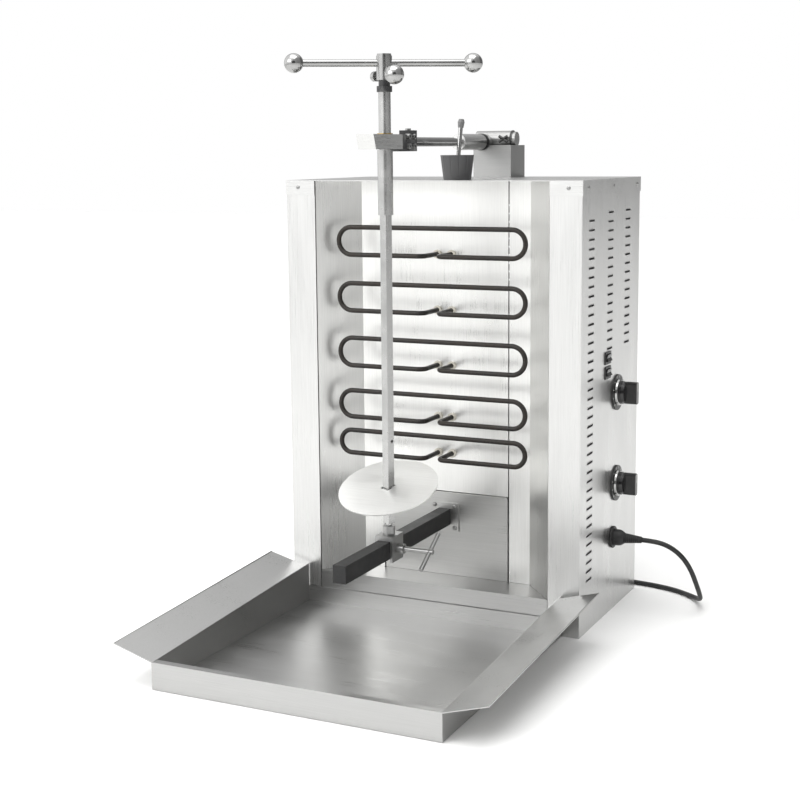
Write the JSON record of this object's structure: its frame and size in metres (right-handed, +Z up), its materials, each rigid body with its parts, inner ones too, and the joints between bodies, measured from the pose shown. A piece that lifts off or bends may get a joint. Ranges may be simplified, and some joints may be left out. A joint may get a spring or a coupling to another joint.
{
  "type": "rotisserie oven",
  "caption": "Electric vertical spit grill: stainless cabinet with looped heating elements, turning spit on a sliding arm, meat plate and wide drip tray.",
  "frame": {"origin": "on the table, under the middle of the object's outline without its lead", "axes": "+Z up, -Y to the front where the drip tray is, +X to the side with the knobs and the lead"},
  "size_m": [0.7247, 0.9302, 0.948],
  "materials": {
    "cabinet_steel": "brushed stainless sheet",
    "reflector_steel": "bright-annealed stainless sheet",
    "tray_steel": "brushed stainless sheet, folded and welded",
    "element_sheath": "oxidised alloy sheath, matt",
    "ceramic": "glazed steatite",
    "rail_black": "black stove enamel, satin",
    "bracket_steel": "plain stainless, satin",
    "spit_steel": "ground stainless bar",
    "ball_steel": "polished",
    "plate_steel": "pressed stainless disc, satin",
    "arm_steel": "satin stainless",
    "bush_brass": "turned",
    "clamp_iron": "blackened casting",
    "housing_grey": "fine-brushed stainless",
    "seal_black": "moulded",
    "boot_rubber": "moulded, fluted",
    "grip_plastic": "moulded",
    "screw_steel": "plain stainless pan heads",
    "dial_plastic": "moulded, fine texture",
    "knob_plastic": "moulded phenolic",
    "inner_plastic": "moulded",
    "gland_plastic": "moulded polyamide",
    "cord_rubber": "extruded rubber sheath"
  },
  "bodies": {
    "cabinet": {"side_panel_right": "cabinet_steel", "side_panel_left": "cabinet_steel", "rear_panel": "cabinet_steel", "front_strip_left": "cabinet_steel", "front_strip_right": "cabinet_steel", "lid": "cabinet_steel", "base_pan": "cabinet_steel", "recess_floor": "cabinet_steel", "side_wing_left": "reflector_steel", "side_wing_right": "reflector_steel", "back_reflector": "reflector_steel", "lower_back_plate": "reflector_steel", "heating_element_1": "element_sheath", "heating_element_2": "element_sheath", "heating_element_3": "element_sheath", "heating_element_4": "element_sheath", "heating_element_5": "element_sheath", "element_bushes": "ceramic", "guide_rail": "rail_black", "rail_flange": "bracket_steel", "rail_end_cap": "bracket_steel", "lever_pin": "spit_steel", "arm_socket": "arm_steel", "arm_housing": "housing_grey", "arm_cross_tube": "housing_grey", "arm_ring": "seal_black", "lever_boot": "boot_rubber", "cabinet_screws": "screw_steel", "dial_plates": "dial_plastic", "switch_housings": "knob_plastic", "regulators": "inner_plastic", "terminal_block": "inner_plastic", "cable_gland": "gland_plastic", "plug": "gland_plastic", "strain_relief": "cord_rubber", "cord": "cord_rubber", "cord_coil": "cord_rubber"},
    "tray": {"drip_tray": "tray_steel"},
    "arm": {"arm_plate": "arm_steel", "arm_bush": "bush_brass", "arm_clamp": "clamp_iron", "arm_clamp_screws": "screw_steel", "arm_rod": "spit_steel"},
    "spit": {"spit_shaft": "spit_steel", "spit_sleeve": "spit_steel", "plate_pin": "spit_steel", "handle_collar": "spit_steel", "handle_hub": "spit_steel", "handle_bar": "spit_steel", "hub_screw": "spit_steel", "handle_balls": "ball_steel"},
    "meat_disc": {"meat_plate": "plate_steel"},
    "slider": {"slider_saddle": "bracket_steel"},
    "slider_clamp": {"clamp_screw": "bracket_steel"},
    "lock_lever": {"lever_rod": "spit_steel", "lever_grip": "grip_plastic"},
    "heat_knob_upper": {"knob_upper": "knob_plastic"},
    "heat_knob_lower": {"knob_lower": "knob_plastic"},
    "switch_rocker_upper": {"rocker_upper": "knob_plastic"},
    "switch_rocker_lower": {"rocker_lower": "knob_plastic"}
  },
  "joints": [
    {"name": "tray_slide", "type": "slide", "parent": "cabinet", "child": "tray", "axis": [0, -1, 0], "range_m": [0, 0.45]},
    {"name": "arm_slide", "type": "slide", "parent": "cabinet", "child": "arm", "axis": [0, 1, 0], "range_m": [-0.06, 0.055]},
    {"name": "slider_slide", "type": "slide", "parent": "cabinet", "child": "slider", "axis": [0, 1, 0], "range_m": [-0.06, 0.055]},
    {"name": "spit_turn", "type": "hinge", "parent": "arm", "child": "spit", "pos_m": [0, -0.073, 0.813], "axis": [0, 0, 1], "continuous": true},
    {"name": "disc_tilt", "type": "hinge", "parent": "spit", "child": "meat_disc", "pos_m": [0, -0.073, 0.26144], "axis": [1, 0, 0], "range_deg": [-41.4, 0]},
    {"name": "slider_clamp_turn", "type": "hinge", "parent": "slider", "child": "slider_clamp", "pos_m": [0.072, -0.073, 0.166], "axis": [1, 0, 0], "range_deg": [-180, 180]},
    {"name": "lock_lever_tilt", "type": "hinge", "parent": "cabinet", "child": "lock_lever", "pos_m": [0.037, 0.122, 0.772], "axis": [1, 0, 0], "range_deg": [-12, 25]},
    {"name": "heat_knob_upper_turn", "type": "hinge", "parent": "cabinet", "child": "heat_knob_upper", "pos_m": [0.2787, 0.276, 0.383], "axis": [1, 0, 0], "range_deg": [-270, 0]},
    {"name": "heat_knob_lower_turn", "type": "hinge", "parent": "cabinet", "child": "heat_knob_lower", "pos_m": [0.2787, 0.276, 0.223], "axis": [1, 0, 0], "range_deg": [-270, 0]},
    {"name": "switch_rocker_upper_press", "type": "hinge", "parent": "cabinet", "child": "switch_rocker_upper", "pos_m": [0.2687, 0.221, 0.45], "axis": [0, 1, 0], "range_deg": [0, 12]},
    {"name": "switch_rocker_lower_press", "type": "hinge", "parent": "cabinet", "child": "switch_rocker_lower", "pos_m": [0.2687, 0.221, 0.425], "axis": [0, 1, 0], "range_deg": [0, 12]}
  ],
  "couplings": [
    {"joint": "slider_slide", "follows": "arm_slide", "ratio": 1}
  ]
}
